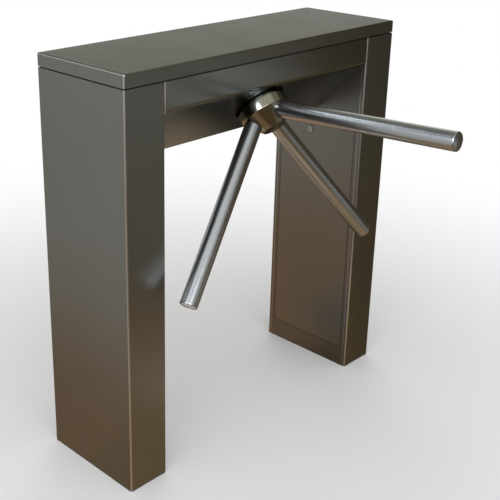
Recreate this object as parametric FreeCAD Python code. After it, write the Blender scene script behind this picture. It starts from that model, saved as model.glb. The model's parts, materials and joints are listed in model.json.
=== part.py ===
import FreeCAD
import Part
import math
import os

# Driving dimensions, in millimetres and degrees

# Cabinet: two legs, the beam that bridges them and the lid over all, of folded sheet
length = 932.0
depth = 294.0
height = 1000.0
leg_width = 111.0
sheet = 2.0
corner_radius = 4.0
lid_height = 30.0
shadow_gap = 3.0
front_height = 65.0
tilt = 46.0
bend_radius = 16.0
beam_end_gap = 0.3
beam_return = 22.0
panel_edge_share = 0.9
floor_room = 27.5
window_rise = 42.0
window_margin = 10.0

# Feet
base_thickness = 8.0
anchor_spacing = 200.0
anchor_radius = 7.0
cable_entry_radius = 25.0

# Rim that the lid closes on, with its seal and hinges
rim_inset = 6.0
rim_below = 22.0
seal_width = 6.0
seal_height = 9.7
seat_gap = 0.3
hinge_spread = 600.0
hinge_knuckle_radius = 3.5
hinge_pin_radius = 1.5
hinge_wall_gap = 0.1
hinge_half_width = 22.0
hinge_lid_half_width = 8.0
hinge_leaf = 1.5
hinge_leaf_gap = 1.0
hinge_lid_room = 8.0

# Access doors in the inner face of each leg, with their cam locks
door_bottom = 57.0
door_drop = 2.0
door_margin = 21.0
door_gap = 1.2
door_flange = 10.0
sill_depth = 20.0
sill_height = 6.0
lock_y = 23.0
lock_drop = 65.0
lock_head_radius = 11.0
lock_head = 2.5
lock_head_round = 1.2
lock_barrel_radius = 9.4
lock_plug_radius = 7.0
lock_nut_radius = 13.0
lock_nut = 4.0
key_slot = 2.0
key_slot_length = 8.0
key_slot_depth = 5.0
cam_width = 14.0
cam_overlap = 2.0
cam_thickness = 2.5
cam_depth = 12.0
keeper_width = 30.0
keeper_height = 12.0

# Rotor head: hub, three arms and what fixes them; reaches are measured outwards from the slope
axis_from_crease = 72.2
hub_neck_radius = 54.0
hub_gap = 12.0
hub_radius = 61.5
hub_standoff = 8.4
hub_back = 12.0
hub_back_round = 2.0
hub_collar = 33.0
hub_collar_round = 3.0
nose_radius = 29.0
nose_reach = 75.0
nose_round = 6.0
nose_plug_radius = 12.0
nose_plug = 6.0
nose_plug_round = 1.0
nose_bore = 34.5
hub_bolt_radius = 6.0
hub_bolt_head_radius = 9.0
hub_bolt_head = 12.0
arm_count = 3
apex_reach = 9.4
cone = 48.5
arm_radius = 21.2
arm_wall = 2.0
arm_reach = 523.0
arm_seat = 44.0
arm_cap = 12.0
arm_cap_round = 3.0
arm_cap_plug = 16.0
arm_cap_lead = 1.0
stud_radius = 8.0
stud_length = 18.0
spigot_length = 26.0
rest_turn = -1.9

# Mechanism plate, shaft and bearings; depths are measured inwards from the slope
plate_room = 4.0
plate_thickness = 8.0
plate_edge = 4.0
plate_top_room = 6.0
shaft_radius = 15.0
shaft_step = 2.5
shaft_spigot_radius = 12.0
shaft_spigot_reach = 20.0
shaft_overrun = 4.0
bearing_race = 4.4
bearing_ball_space = 3.7
bearing_width = 13.0
bearing_seal = 1.0
bearing_span = 49.0
hub_boss_inset = 1.0
housing_wall = 8.5
housing_pilot = 2.0
housing_shoulder = 3.5
housing_flange_width = 14.0
housing_flange = 10.0
housing_overrun = 3.0
housing_edge_round = 1.5
running_clearance = 0.05

# Gear, discs and nut on the shaft
pressure_angle = 20.0
gear_module = 2.5
gear_teeth = 48
pinion_teeth = 16
tooth_root = 1.25
tooth_flank_start = 0.3
gear_width = 10.0
gear_boss = 9.0
gear_boss_wall = 4.5
gear_backlash = 0.3
disc_radius = 62.0
disc_thickness = 8.0
disc_boss = 4.0
disc_boss_wall = 7.5
stops_per_arm = 2
notch_depth = 8.0
notch_half_width = 11.5
star_mean_radius = 40.0
star_rise = 3.6
star_boss = 2.0
star_thickness = 8.0
star_points_per_lobe = 8
code_radius = 40.0
code_thickness = 1.5
code_slot_width = 6.0
code_rim = 3.0
code_room = 2.5
nut_washer = 2.0
nut_thickness = 8.0
nut_wall = 7.5

# Damper beside the shaft
damper_radius = 26.0
damper_round = 3.0
damper_flange_radius = 28.0
damper_flange = 6.0
damper_length = 40.0
spindle_radius = 5.0
spindle_insert = 24.0
spindle_overrun = 1.0

# Locking pawls and their solenoids, one set for each direction of passage
pawl_angle = 30.0
pawl_arm = 45.0
pawl_pivot_rise = 2.0
pawl_tooth_half_width = 6.0
pawl_tooth_taper = 2.0
pawl_clearance = 1.5
pawl_bar = 12.0
pawl_boss_radius = 9.0
pawl_tail = 30.0
pawl_tail_half_width = 5.0
pawl_tail_end = 8.0
pawl_slot_play = 1.5
post_radius = 8.0
pivot_radius = 5.0
rivet_radius = 7.0
rivet_head = 2.5
axial_gap = 0.3
plunger_radius = 9.0
plunger_nose = 11.0
plunger_slot = 10.0
plunger_insert = 28.0
plunger_pin_radius = 2.5
plunger_pin_inset = 1.0
plunger_pin_gap = 0.3
solenoid_room = 22.1
solenoid_length = 48.0
solenoid_width = 36.0
solenoid_round = 3.0
solenoid_stroke = 10.0
stand_wall = 3.0
stand_inset = 4.0

# Centring lever that rides on the star cam
lever_arm = 55.0
lever_gap = 1.0
lever_thickness = 7.0
lever_boss_radius = 9.0
lever_half_width = 7.0
roller_radius = 9.0
roller_clearance = 0.5
roller_pin_radius = 4.0

# Position sensor that straddles the code disc
sensor_angle = 235.0
sensor_room = 4.5
sensor_post_depth = 8.0
sensor_half_width = 7.0
sensor_overlap = 10.0
sensor_gap = 1.8
sensor_leg = 5.5

# Brackets that carry the mechanism, and their fasteners
bracket_wall = 4.0
bracket_flange = 30.0
bracket_room = 2.0
bracket_top_room = 11.0
bracket_depth = 26.0
bracket_back_room = 35.0
bracket_foot_height = 26.0
plate_bolt_radius = 4.0
plate_bolt_head_radius = 7.0
plate_bolt_head = 5.3
plate_bolt_nut = 6.5
plate_bolt_top = 10.0
plate_bolt_bottom = 27.0
housing_bolt_radius = 3.0
housing_bolt_head_radius = 5.0
housing_bolt_head = 6.0
foot_screw_radius = 3.0
foot_screw_head_radius = 5.5
foot_screw_head = 3.5
foot_screw_inset = 18.0
bolt_hole_gap = 0.3

# Electronics
board_width = 160.0
board_height = 90.0
board_thickness = 1.6
board_side_room = 25.0
standoff_length = 12.0
standoff_radius = 3.5
standoff_inset = 6.0
terminal_width = 90.0
terminal_depth = 11.0
terminal_height = 12.0
terminal_inset = 3.0
relay_width = 16.0
relay_depth = 15.0
relay_height = 20.0
relay_count = 4
relay_pitch = 26.0
supply_depth = 38.0
supply_width = 98.0
supply_length = 159.0
supply_round = 2.0
supply_height = 480.0
supply_flange = 12.0

# Room that a cutting tool takes beyond the piece it cuts
beyond = 1.0
# Faces and edges nearer than this lie on the same plane
same = 1e-4

# Sizes worked out from the driving dimensions: the cabinet
V = FreeCAD.Vector
half_length = length / 2
half_depth = depth / 2
inner_face = half_length - leg_width
leg_middle = half_length - leg_width / 2
lid_bottom = height - lid_height
body_top = lid_bottom - shadow_gap
rim_bottom = body_top - rim_below
rim_top = height - sheet - seat_gap - seal_height
crease_height = body_top - front_height
sin_tilt = math.sin(math.radians(tilt))
cos_tilt = math.cos(math.radians(tilt))
axis_y = -half_depth + axis_from_crease * sin_tilt
axis_z = crease_height - axis_from_crease * cos_tilt
opening_radius = hub_neck_radius + hub_gap

# Depths of what the shaft carries, each piece against the one before it
plate_front = hub_back + plate_room
plate_back = plate_front + plate_thickness
front_seat = plate_back
rear_seat = front_seat + bearing_span
gear_front = rear_seat + gear_boss
gear_back = gear_front + gear_width
disc_front = gear_back + disc_boss
disc_back = disc_front + disc_thickness
star_front = disc_back + star_boss
star_back = star_front + star_thickness
lever_front = star_back + lever_gap
lever_back = lever_front + lever_thickness
code_front = lever_back + code_room
code_back = code_front + code_thickness
nut_front = code_back + nut_washer
nut_back = nut_front + nut_thickness
shaft_tail_radius = shaft_radius - shaft_step
inner_race = shaft_radius + bearing_race
outer_race = inner_race + bearing_ball_space
bearing_radius = outer_race + bearing_race

# Places on the mechanism plate, in the rotor's frame
gear_centres = gear_module * (gear_teeth + pinion_teeth) / 2
gear_tip = gear_module * (gear_teeth / 2 + 1)
turn = math.radians(pawl_angle)
pivot_reach = disc_radius + pawl_pivot_rise
pivot = V(pivot_reach * math.cos(turn) + pawl_arm * math.sin(turn),
          pivot_reach * math.sin(turn) - pawl_arm * math.cos(turn), 0)
plunger_y = pivot.y - pawl_tail
solenoid_face = pivot.x + solenoid_room
bracket_x = solenoid_face + solenoid_length + bracket_room
plate_half_width = bracket_x + bracket_flange
plate_low = -gear_centres - damper_flange_radius - plate_edge
plate_high = axis_from_crease - plate_top_room
bracket_top = plate_high - bracket_top_room

# The beam's floor lies below the low edge of the mechanism plate
beam_floor = axis_z + plate_low * cos_tilt + plate_front * sin_tilt - floor_room
underside_height = beam_floor - sheet
slope_foot = -half_depth + (crease_height - underside_height) * math.tan(math.radians(tilt))
door_top = underside_height - door_drop
lock_height = door_top - lock_drop
cam_length = lock_drop + cam_overlap

# The rotor's own frame: x across the cabinet, y up the slope, z out of the slope along the axis
rotor_frame = FreeCAD.Placement(V(0, axis_y, axis_z), FreeCAD.Rotation(V(1, 0, 0), 90 + tilt))
rotor_at_rest = rotor_frame * FreeCAD.Placement(V(), FreeCAD.Rotation(V(0, 0, 1), rest_turn))
# Sections drawn in (y, z) and carried along x
along_x = FreeCAD.Placement(V(), FreeCAD.Rotation(V(0, 1, 0), V(0, 0, 1), V(1, 0, 0), "XYZ"))

nodes = {}


def outline(corners):
    """Closed wire through corners (a, b, radius); a radius rounds its corner with a tangent arc."""
    bends = []
    for i, (a, b, radius) in enumerate(corners):
        here = V(a, b, 0)
        before = corners[i - 1]
        after = corners[(i + 1) % len(corners)]
        back = (V(before[0], before[1], 0) - here).normalize()
        ahead = (V(after[0], after[1], 0) - here).normalize()
        half_angle = back.getAngle(ahead) / 2
        if radius == 0:
            bends.append((here, None, here))
            continue
        tangent = radius / math.tan(half_angle)
        middle = here + (back + ahead).normalize() * (radius / math.sin(half_angle) - radius)
        bends.append((here + back * tangent, middle, here + ahead * tangent))
    edges = []
    for i, (start, middle, end) in enumerate(bends):
        previous = bends[i - 1][2]
        if (start - previous).Length > same:
            edges.append(Part.LineSegment(previous, start).toShape())
        if middle is not None:
            edges.append(Part.Arc(start, middle, end).toShape())
    return Part.Wire(edges)


def square(points):
    """Corners with no rounding."""
    return [(a, b, 0) for a, b in points]


def rectangle(a0, a1, b0, b1, radius=0):
    """Corners of a rectangle, all rounded alike."""
    return [(a0, b0, radius), (a1, b0, radius), (a1, b1, radius), (a0, b1, radius)]


def prism(corners, low, high):
    """An outline carried along z from low to high."""
    face = Part.Face(outline(corners))
    face.translate(V(0, 0, low))
    return face.extrude(V(0, 0, high - low))


def section(corners, low, high):
    """An outline drawn in (y, z), carried along x from low to high."""
    return placed(prism(corners, low, high), along_x)


def turned(corners):
    """An outline drawn in (radius, z), revolved about z."""
    upright = FreeCAD.Placement(V(), FreeCAD.Rotation(V(1, 0, 0), 90))
    face = placed(Part.Face(outline(corners)), upright)
    return face.revolve(V(0, 0, 0), V(0, 0, 1), 360)


def plan(inset, low, high):
    """The cabinet's plan, drawn in by an inset, carried along z from low to high."""
    return prism(rectangle(-half_length + inset, half_length - inset, -half_depth + inset,
                           half_depth - inset, max(corner_radius - inset, 0)), low, high)


def leg_plan(inset, low, high):
    """The right leg's plan, drawn in by an inset, carried along z from low to high."""
    return prism(rectangle(inner_face + inset, half_length - inset, -half_depth + inset,
                           half_depth - inset, max(corner_radius - inset, 0)), low, high)


def rod(radius, low, high, x=0.0, y=0.0):
    """A round bar along z."""
    return Part.makeCylinder(radius, high - low, V(x, y, low))


def ring(outer, inner, low, high):
    """A round tube along z."""
    return rod(outer, low, high).cut(rod(inner, low - beyond, high + beyond))


def bar_x(radius, low, high, y, z):
    """A round bar along x."""
    return Part.makeCylinder(radius, high - low, V(low, y, z), V(1, 0, 0))


def block(x0, x1, y0, y1, z0, z1):
    """A plain block between two corners."""
    return Part.makeBox(x1 - x0, y1 - y0, z1 - z0, V(x0, y0, z0))


def hexagon(radius, low, high, x=0.0, y=0.0):
    """A hexagonal head or nut along z."""
    points = []
    for i in range(6):
        angle = math.radians(60 * i)
        points.append((x + radius * math.cos(angle), y + radius * math.sin(angle)))
    return prism(square(points), low, high)


def placed(shape, placement):
    """A copy of a shape, moved by a placement."""
    moved = shape.copy()
    moved.Placement = placement * moved.Placement
    return moved


def spun(shape, angle):
    """A copy turned about z."""
    return placed(shape, FreeCAD.Placement(V(), FreeCAD.Rotation(V(0, 0, 1), angle)))


def other_side(shape):
    """The mirror image across the cabinet's middle."""
    return shape.mirror(V(0, 0, 0), V(1, 0, 0))


def folded(points, thickness, outer_radius):
    """Corners of a sheet that turns left along a line of points, its thickness to the left."""
    inside_radius = max(outer_radius - thickness, 0)
    left = []
    right = []
    for i, point in enumerate(points):
        normals = []
        for start, end in ((i - 1, i), (i, i + 1)):
            if start >= 0 and end < len(points):
                run = V(*points[end], 0) - V(*points[start], 0)
                normals.append(V(-run.y, run.x, 0).normalize())
        first, last = normals[0], normals[-1]
        shift = (first + last) * (thickness / (1 + first.dot(last)))
        bend = len(normals) == 2
        left.append((point[0] + shift.x, point[1] + shift.y, inside_radius if bend else 0))
        right.append((point[0], point[1], outer_radius if bend else 0))
    return right + left[::-1]


def add(name, *solids):
    """Keep one node's solids."""
    nodes[name] = solids


def add_pair(name, *solids):
    """Keep a node of the right side and its mirror image on the left."""
    add(f"right_{name}", *solids)
    add(f"left_{name}", *[other_side(solid) for solid in solids])


def add_rotor(name, *solids):
    """Keep a node drawn in the rotor's frame that turns with the shaft."""
    add(name, *[placed(solid, rotor_at_rest) for solid in solids])


def add_fixed(name, *solids):
    """Keep a node drawn in the rotor's frame that stays with the cabinet."""
    add(name, *[placed(solid, rotor_frame) for solid in solids])


def in_row(y, z):
    """A point of the rotor's frame, on the cabinet's middle, as (y, z) of the part."""
    return (axis_y - y * sin_tilt - z * cos_tilt, axis_z + y * cos_tilt - z * sin_tilt)


def arm_frame(index):
    """The frame of one arm: its origin where the arms' axes meet, its z along the arm."""
    around = math.radians(90 + index * 360 / arm_count)
    spread = math.radians(cone)
    direction = V(math.sin(spread) * math.cos(around), math.sin(spread) * math.sin(around),
                  math.cos(spread))
    return FreeCAD.Placement(V(0, 0, apex_reach), FreeCAD.Rotation(V(0, 0, 1), direction))


def involute(angle):
    """The involute function of a pressure angle."""
    return math.tan(angle) - angle


def toothed(teeth, low, high, bore):
    """A spur gear with involute flanks, one tooth centred on the x axis."""
    pressure = math.radians(pressure_angle)
    pitch = gear_module * teeth / 2
    base_circle = pitch * math.cos(pressure)
    half_tooth = math.pi / (2 * teeth) - gear_backlash / (4 * pitch)
    flank = []
    for rise in (-tooth_root, -tooth_flank_start, 0, 1):
        radius = pitch + rise * gear_module
        local = math.acos(min(1, base_circle / radius))
        flank.append((radius, half_tooth + involute(pressure) - involute(local)))
    points = []
    for i in range(teeth):
        middle = 2 * math.pi * i / teeth
        for radius, half in flank:
            points.append((radius * math.cos(middle - half), radius * math.sin(middle - half)))
        for radius, half in reversed(flank):
            points.append((radius * math.cos(middle + half), radius * math.sin(middle + half)))
    return prism(square(points), low, high).cut(rod(bore, low - beyond, high + beyond))


def post(x, y, seat, thickness):
    """A shouldered post on the mechanism plate, riveted over the lever that turns on it."""
    shoulder = -seat + axial_gap
    journal = -seat - thickness - axial_gap
    return rod(post_radius, shoulder, -plate_back, x, y).fuse([
        rod(pivot_radius, journal, shoulder, x, y),
        rod(rivet_radius, journal - rivet_head, journal, x, y)]).removeSplitter()


# Legs: a rectangular tube of folded sheet with a door opening, a wiring window and a notch for
# the rim; the door's sill and the lock's keeper are welded inside
wall = (inner_face - beyond, inner_face + sheet + corner_radius)
door_half_width = half_depth - door_margin
leg = leg_plan(0, 0, body_top).cut(leg_plan(sheet, -beyond, body_top + beyond))
leg = leg.cut(block(*wall, -door_half_width, door_half_width, door_bottom, door_top))
leg = leg.cut(block(*wall, slope_foot + window_margin, half_depth - beam_return - window_margin,
                    beam_floor + window_rise, rim_bottom - window_margin))
leg = leg.cut(block(*wall, -half_depth + sheet, half_depth - sheet, rim_bottom - beyond, body_top + beyond))
sill = block(inner_face + sheet, inner_face + sheet + sill_depth, -door_half_width + door_margin,
             door_half_width - door_margin, door_bottom - sill_height, door_bottom + door_gap - seat_gap)
keeper = block(inner_face + sheet, inner_face + cam_depth - seat_gap, lock_y - keeper_width / 2,
               lock_y + keeper_width / 2, door_top + sheet, door_top + sheet + keeper_height)
add_pair("leg_shell", leg.fuse([sill, keeper]).removeSplitter())

# Base plates: welded inside the foot of each leg, with anchor holes and a cable entry
base = leg_plan(sheet, 0, base_thickness)
for anchor_y in (-anchor_spacing / 2, anchor_spacing / 2):
    base = base.cut(rod(anchor_radius, -beyond, base_thickness + beyond, leg_middle, anchor_y))
base = base.cut(rod(cable_entry_radius, -beyond, base_thickness + beyond, leg_middle, 0))
add_pair("base_plate", base)

# Beam front panel: upright face, slope and underside bent from one sheet, with its ends returned
beam_end = inner_face - beam_end_gap
front_line = [(-half_depth, body_top), (-half_depth, crease_height), (slope_foot, underside_height),
              (half_depth - sheet, underside_height)]
panel = section(folded(front_line, sheet, bend_radius), -beam_end, beam_end)
end_flange = section(folded(front_line, beam_return, bend_radius), beam_end - sheet, beam_end)
end_flange = end_flange.common(block(beam_end - sheet, beam_end, -half_depth, half_depth - sheet,
                                     underside_height, rim_bottom))
panel = panel.fuse([end_flange, other_side(end_flange)]).removeSplitter()
to_rotor = rotor_frame.inverse()
outer_ends = []
for edge in panel.Edges:
    middle = edge.valueAt((edge.FirstParameter + edge.LastParameter) / 2)
    on_front = abs(middle.y + half_depth) < same
    on_slope = abs(to_rotor.multVec(middle).z) < same
    on_bend = hasattr(edge.Curve, "Radius") and abs(edge.Curve.Radius - bend_radius) < same
    on_underside = abs(middle.z - underside_height) < same
    at_end = edge.BoundBox.XLength < same and abs(abs(middle.x) - beam_end) < same
    if at_end and (on_front or on_slope or on_bend or on_underside):
        outer_ends.append(edge)
panel = panel.makeFillet(sheet * panel_edge_share, outer_ends)
add("beam_front_panel", panel.cut(placed(rod(opening_radius, -bend_radius, beyond), rotor_frame)))

# Beam back panel
add("beam_back_panel", block(-beam_end, beam_end, half_depth - sheet, half_depth,
                             underside_height, body_top))

# Rim: an angle frame inside the top of the cabinet, which makes the shadow gap and locates the lid
collar_out = sheet + rim_inset
collar_in = collar_out + sheet
rim = plan(collar_out, rim_bottom, rim_top).fuse(plan(sheet, rim_bottom, rim_bottom + sheet))
add("lid_rim", rim.cut(plan(collar_in, rim_bottom - beyond, rim_top + beyond)).removeSplitter())

# Seal: a foam strip along the top of the rim, which the lid rests on
seal_out = collar_out - (seal_width - sheet) / 2
seal = plan(seal_out, rim_top, rim_top + seal_height)
add("lid_seal", seal.cut(plan(seal_out + seal_width, rim_top - beyond, height)))

# Lid: a shallow folded cap with rounded edges
lid = plan(0, lid_bottom, height)
lid = lid.makeFillet(corner_radius, [e for e in lid.Edges if e.BoundBox.ZMin > height - same])
hollow = plan(sheet, lid_bottom - beyond, height - sheet)
hollow = hollow.makeFillet(corner_radius - sheet,
                           [e for e in hollow.Edges if e.BoundBox.ZMin > height - sheet - same])
add("lid", lid.cut(hollow))

# Lid hinges: two pairs of leaves behind the back wall, with their barrels in the shadow gap
hinge_y = half_depth + hinge_knuckle_radius + hinge_wall_gap
hinge_z = body_top + shadow_gap / 2
strip = (hinge_z - hinge_leaf / 2, hinge_z + hinge_leaf / 2)
leaf_y = (half_depth - sheet - hinge_leaf, half_depth - sheet)
body_leaves = []
lid_leaves = []
for hinge_x in (-hinge_spread / 2, hinge_spread / 2):
    span = (hinge_x - hinge_half_width, hinge_x + hinge_half_width)
    inner = (hinge_x - hinge_lid_half_width, hinge_x + hinge_lid_half_width)
    body_leaf = block(*span, *leaf_y, rim_bottom + sheet + hinge_leaf_gap, body_top)
    for side in ((span[0], inner[0] - seat_gap), (inner[1] + seat_gap, span[1])):
        body_leaf = body_leaf.fuse([block(*side, *leaf_y, body_top, strip[1]),
                                    block(*side, leaf_y[0], hinge_y, *strip),
                                    bar_x(hinge_knuckle_radius, *side, hinge_y, hinge_z)])
    body_leaf = body_leaf.fuse(bar_x(hinge_pin_radius, *span, hinge_y, hinge_z))
    body_leaves.append(body_leaf.removeSplitter())
    lid_leaf = block(*span, *leaf_y, lid_bottom + seat_gap, height - sheet - hinge_lid_room)
    lid_leaf = lid_leaf.fuse([block(*inner, *leaf_y, strip[0], lid_bottom + hinge_leaf),
                              block(*inner, leaf_y[0], hinge_y, *strip),
                              bar_x(hinge_knuckle_radius, *inner, hinge_y, hinge_z)])
    lid_leaf = lid_leaf.cut(bar_x(hinge_pin_radius + running_clearance, *span, hinge_y, hinge_z))
    lid_leaves.append(lid_leaf.removeSplitter())
add("hinge_body_leaves", *body_leaves)
add("hinge_lid_leaves", *lid_leaves)

# Access doors: a flanged panel set flush in the inner face of each leg, standing on its sill
panel_half = door_half_width - door_gap
panel_low = door_bottom + door_gap
panel_high = door_top - door_gap
door = block(inner_face, inner_face + door_flange, -panel_half, panel_half, panel_low, panel_high)
door = door.cut(block(inner_face + sheet, inner_face + door_flange + beyond, -panel_half + sheet,
                      panel_half - sheet, panel_low + sheet, panel_high - sheet))
door = door.cut(bar_x(lock_barrel_radius, inner_face - beyond, inner_face + sheet + beyond,
                      lock_y, lock_height))
add_pair("door", door)

# Cam locks: a barrel held by its nut, a plug that the key turns, and the cam on the plug's end
lock_front = inner_face - lock_head
cam_front = inner_face + cam_depth
barrel_end = cam_front - axial_gap
barrel = bar_x(lock_head_radius, lock_front, inner_face, lock_y, lock_height)
barrel = barrel.makeFillet(lock_head_round, [e for e in barrel.Edges if e.BoundBox.XMax < lock_front + same])
barrel = barrel.fuse(bar_x(lock_barrel_radius, inner_face, barrel_end, lock_y, lock_height))
barrel = barrel.cut(bar_x(lock_plug_radius + running_clearance, lock_front - beyond, barrel_end + beyond,
                          lock_y, lock_height)).removeSplitter()
nut_place = FreeCAD.Placement(V(0, lock_y, lock_height), FreeCAD.Rotation(V(0, 1, 0), 90))
nut = placed(hexagon(lock_nut_radius, inner_face + sheet, inner_face + sheet + lock_nut), nut_place)
nut = nut.cut(bar_x(lock_barrel_radius, inner_face, barrel_end, lock_y, lock_height))
plug = bar_x(lock_plug_radius, lock_front, cam_front, lock_y, lock_height)
plug = plug.cut(block(lock_front - beyond, lock_front + key_slot_depth, lock_y - key_slot / 2,
                      lock_y + key_slot / 2, lock_height - key_slot_length / 2,
                      lock_height + key_slot_length / 2))
cam_half = cam_width / 2
lock_cam = section(rectangle(lock_y - cam_half, lock_y + cam_length + cam_half, lock_height - cam_half,
                             lock_height + cam_half, cam_half), cam_front, cam_front + cam_thickness)
add_pair("lock_barrel", barrel, nut)
add_pair("lock_plug", plug)
add_pair("lock_cam", lock_cam)

# Mechanism plate: parallel to the slope, behind it
housing_radius = bearing_radius + housing_wall
pilot_radius = housing_radius + housing_pilot
flange_radius = housing_radius + housing_flange_width
bolt_circle = (housing_radius + flange_radius) / 2
flange_middle = (bracket_x + bracket_wall + plate_half_width) / 2
plate_bolt_places = []
for x in (-flange_middle, flange_middle):
    for y in (bracket_top - plate_bolt_top, plate_low + plate_bolt_bottom):
        plate_bolt_places.append((x, y))
housing_bolt_places = []
for i in range(4):
    angle = math.radians(45 + 90 * i)
    housing_bolt_places.append((bolt_circle * math.cos(angle), bolt_circle * math.sin(angle)))
through = (-plate_back - beyond, -plate_front + beyond)
plate = block(-plate_half_width, plate_half_width, plate_low, plate_high, -plate_back, -plate_front)
plate = plate.cut(rod(pilot_radius, *through))
for place in plate_bolt_places:
    plate = plate.cut(rod(plate_bolt_radius + bolt_hole_gap, *through, *place))
for place in housing_bolt_places:
    plate = plate.cut(rod(housing_bolt_radius + bolt_hole_gap, *through, *place))
add_fixed("mechanism_plate", plate)

# Bearing housing: flanged barrel with a seat for a bearing at each end
housing_end = rear_seat + housing_overrun
flange_back = plate_back + housing_flange
shoulder_radius = bearing_radius - housing_shoulder
shoulder_front = -front_seat - bearing_width
shoulder_back = -rear_seat + bearing_width
housing = turned([
    (bearing_radius, -plate_front, 0), (pilot_radius, -plate_front, 0), (pilot_radius, -plate_back, 0),
    (flange_radius, -plate_back, 0), (flange_radius, -flange_back, housing_edge_round),
    (housing_radius, -flange_back, housing_edge_round), (housing_radius, -housing_end, housing_edge_round),
    (bearing_radius, -housing_end, 0), (bearing_radius, shoulder_back, 0),
    (shoulder_radius, shoulder_back, 0), (shoulder_radius, shoulder_front, 0),
    (bearing_radius, shoulder_front, 0)])
for place in housing_bolt_places:
    housing = housing.cut(rod(housing_bolt_radius + bolt_hole_gap, -flange_back - beyond,
                              -plate_back + beyond, *place))
add_fixed("bearing_housing", housing)

# Bearings: the outer rings, with their seals, stay in the housing and the inner rings turn with the shaft
outer_rings = []
inner_rings = []
seal_bore = inner_race + seat_gap
for back in (-front_seat - bearing_width, -rear_seat):
    front = back + bearing_width
    outer_rings.append(turned(square([
        (bearing_radius, back), (bearing_radius, front), (seal_bore, front),
        (seal_bore, front - bearing_seal), (outer_race, front - bearing_seal),
        (outer_race, back + bearing_seal), (seal_bore, back + bearing_seal), (seal_bore, back)])))
    inner_rings.append(ring(inner_race, shaft_radius, back, front))
add_fixed("bearing_outer_rings", *outer_rings)
add_rotor("bearing_inner_rings", *inner_rings)

# Shaft: a stepped bar, bored at its front for the hub's bolt
shaft_end = nut_back + shaft_overrun
add_rotor("main_shaft", turned(square([
    (0, -shaft_end), (shaft_tail_radius, -shaft_end), (shaft_tail_radius, -rear_seat),
    (shaft_radius, -rear_seat), (shaft_radius, -front_seat), (shaft_spigot_radius, -front_seat),
    (shaft_spigot_radius, shaft_spigot_reach), (hub_bolt_radius, shaft_spigot_reach),
    (hub_bolt_radius, -hub_back), (0, -hub_back)])))

# Hub: a neck in the slope's opening, a collar before it, a cone and a nose; each arm has a socket in it
hub_boss_radius = inner_race - hub_boss_inset
hub_bolt_seat = nose_reach - nose_bore
bolt_bore = hub_bolt_radius + bolt_hole_gap
hub = turned([
    (shaft_spigot_radius, -front_seat, 0), (hub_boss_radius, -front_seat, 0), (hub_boss_radius, -hub_back, 0),
    (hub_neck_radius, -hub_back, hub_back_round), (hub_neck_radius, hub_standoff, 0),
    (hub_radius, hub_standoff, hub_back_round), (hub_radius, hub_collar, hub_collar_round),
    (nose_radius, nose_reach, nose_round), (nose_plug_radius, nose_reach, 0),
    (nose_plug_radius, hub_bolt_seat, 0), (bolt_bore, hub_bolt_seat, 0), (bolt_bore, shaft_spigot_reach, 0),
    (shaft_spigot_radius, shaft_spigot_reach, 0)])
stud_seat = arm_seat - stud_length
for i in range(arm_count):
    hub = hub.cut(placed(rod(arm_radius, arm_seat, arm_seat + hub_radius), arm_frame(i)))
    hub = hub.cut(placed(rod(stud_radius, stud_seat, arm_seat + beyond), arm_frame(i)))
add_rotor("hub", hub)

# Hub bolt and the plug that closes the hub's nose
hub_bolt = rod(hub_bolt_radius, -hub_back, hub_bolt_seat)
hub_bolt = hub_bolt.fuse(rod(hub_bolt_head_radius, hub_bolt_seat, hub_bolt_seat + hub_bolt_head))
hub_bolt = hub_bolt.cut(hexagon(hub_bolt_radius, hub_bolt_seat + hub_bolt_head / 2, nose_reach))
add_rotor("hub_bolt", hub_bolt.removeSplitter())
add_rotor("hub_nose_plug", turned([
    (0, nose_reach - nose_plug, 0), (nose_plug_radius, nose_reach - nose_plug, 0),
    (nose_plug_radius, nose_reach, nose_plug_round), (0, nose_reach, 0)]))

# Arms: a steel tube on a turned spigot, whose stud is screwed into the hub, and a cap in its far end
arm_bore = arm_radius - arm_wall
tube_end = arm_reach - arm_cap
cap_low = tube_end - arm_cap_plug
spigots = []
for i in range(arm_count):
    frame = arm_frame(i)
    add_rotor(f"arm_{i + 1}", placed(ring(arm_radius, arm_bore, arm_seat, tube_end), frame))
    spigot = rod(stud_radius, stud_seat, arm_seat).fuse(rod(arm_bore, arm_seat, arm_seat + spigot_length))
    spigots.append(placed(spigot.removeSplitter(), frame))
    add_rotor(f"arm_cap_{i + 1}", placed(turned([
        (0, cap_low, 0), (arm_bore, cap_low, arm_cap_lead), (arm_bore, tube_end, 0),
        (arm_radius, tube_end, 0), (arm_radius, arm_reach, arm_cap_round), (0, arm_reach, 0)]), frame))
add_rotor("arm_spigots", *spigots)

# Drive gear on the shaft, and the damper that its pinion turns
gear_boss_radius = shaft_tail_radius + gear_boss_wall
gear = toothed(gear_teeth, -gear_back, -gear_front, shaft_tail_radius)
gear = gear.fuse(ring(gear_boss_radius, shaft_tail_radius, -gear_front, -rear_seat))
add_rotor("drive_gear", gear.removeSplitter())
damper_frame = rotor_frame * FreeCAD.Placement(V(0, -gear_centres, 0), FreeCAD.Rotation())
damper_end = plate_back + damper_length
damper_step = -plate_back - damper_flange
damper = turned([
    (0, -plate_back, 0), (damper_flange_radius, -plate_back, 0), (damper_flange_radius, damper_step, 0),
    (damper_radius, damper_step, 0), (damper_radius, -damper_end, damper_round), (0, -damper_end, 0)])
damper = damper.cut(rod(spindle_radius + running_clearance, -damper_end - beyond,
                        -damper_end + spindle_insert + axial_gap))
add("damper_body", placed(damper, damper_frame))
pinion_turn = 90 - rest_turn * gear_teeth / pinion_teeth + 180 / pinion_teeth
pinion = spun(toothed(pinion_teeth, -gear_back, -gear_front, spindle_radius), pinion_turn)
spindle = rod(spindle_radius, -gear_back - spindle_overrun, -damper_end + spindle_insert)
add("damper_pinion", placed(pinion, damper_frame))
add("damper_spindle", placed(spindle, damper_frame))

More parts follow.
